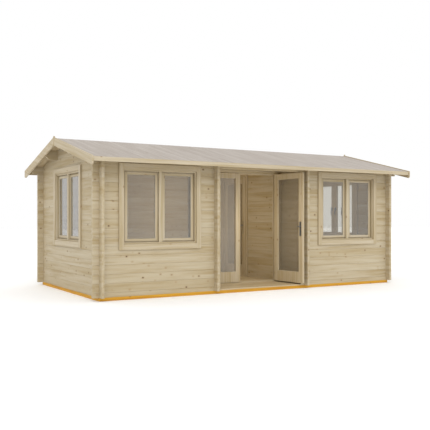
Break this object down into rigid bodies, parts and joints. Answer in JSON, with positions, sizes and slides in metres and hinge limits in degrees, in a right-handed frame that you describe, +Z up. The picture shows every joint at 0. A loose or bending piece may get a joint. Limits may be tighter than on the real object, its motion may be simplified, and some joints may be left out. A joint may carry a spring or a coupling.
{
  "type": "log cabin",
  "caption": "Garden log cabin with interlocking timber walls, a recessed porch with glazed double doors, casement windows, an inner glazed door and a low gable roof.",
  "frame": {"origin": "on the ground at the centre of the cabin's footprint, under the middle of the ridge", "axes": "+X to the right along the front wall as seen from outside the front, +Y from the front wall to the back wall, +Z up"},
  "size_m": [6.196, 3.58, 2.5398],
  "materials": {
    "log_wood": "planed pine",
    "joinery_wood": "planed pine",
    "treated_wood": "treated softwood",
    "floor_wood": "planed pine",
    "roof_wood": "bare boards",
    "glass": "clear",
    "handle_metal": "satin"
  },
  "bodies": {
    "body": {"left_gable_wall": "log_wood", "right_gable_wall": "log_wood", "front_left_wall": "log_wood", "front_right_wall": "log_wood", "front_top_log": "log_wood", "back_wall": "log_wood", "back_top_log": "log_wood", "left_partition": "log_wood", "right_partition": "log_wood", "porch_wall": "log_wood", "roof_purlins": "log_wood", "front_left_window": "joinery_wood", "front_right_window": "joinery_wood", "left_gable_window": "joinery_wood", "right_gable_window": "joinery_wood", "front_door_frame": "joinery_wood", "inner_door_frame": "joinery_wood", "left_bargeboards": "joinery_wood", "right_bargeboards": "joinery_wood", "front_fascia": "joinery_wood", "back_fascia": "joinery_wood", "front_left_window_glass": "glass", "front_right_window_glass": "glass", "left_gable_window_glass": "glass", "right_gable_window_glass": "glass", "window_handles": "handle_metal", "door_hinge_pins": "handle_metal", "left_room_floor": "floor_wood", "centre_floor": "floor_wood", "right_room_floor": "floor_wood", "front_roof_boards": "roof_wood", "back_roof_boards": "roof_wood", "base_frame": "treated_wood"},
    "left_door": {"left_door_leaf": "joinery_wood", "left_door_glass": "glass", "left_door_hinges": "handle_metal"},
    "right_door": {"right_door_leaf": "joinery_wood", "right_door_glass": "glass", "right_door_hinges": "handle_metal", "right_door_handles": "handle_metal"},
    "inner_door": {"inner_door_leaf": "joinery_wood", "inner_door_glass": "glass", "inner_door_hinges": "handle_metal", "inner_door_handles": "handle_metal"}
  },
  "joints": [
    {"name": "left_door_swing", "type": "hinge", "parent": "body", "child": "left_door", "pos_m": [-0.764, -0.784, 1], "axis": [0, 0, -1], "range_deg": [0, 94]},
    {"name": "right_door_swing", "type": "hinge", "parent": "body", "child": "right_door", "pos_m": [0.764, -0.784, 1], "axis": [0, 0, 1], "range_deg": [-94, 0]},
    {"name": "inner_door_swing", "type": "hinge", "parent": "body", "child": "inner_door", "pos_m": [0.934, 1.236, 1], "axis": [0, 0, 1], "range_deg": [0, 90]}
  ]
}
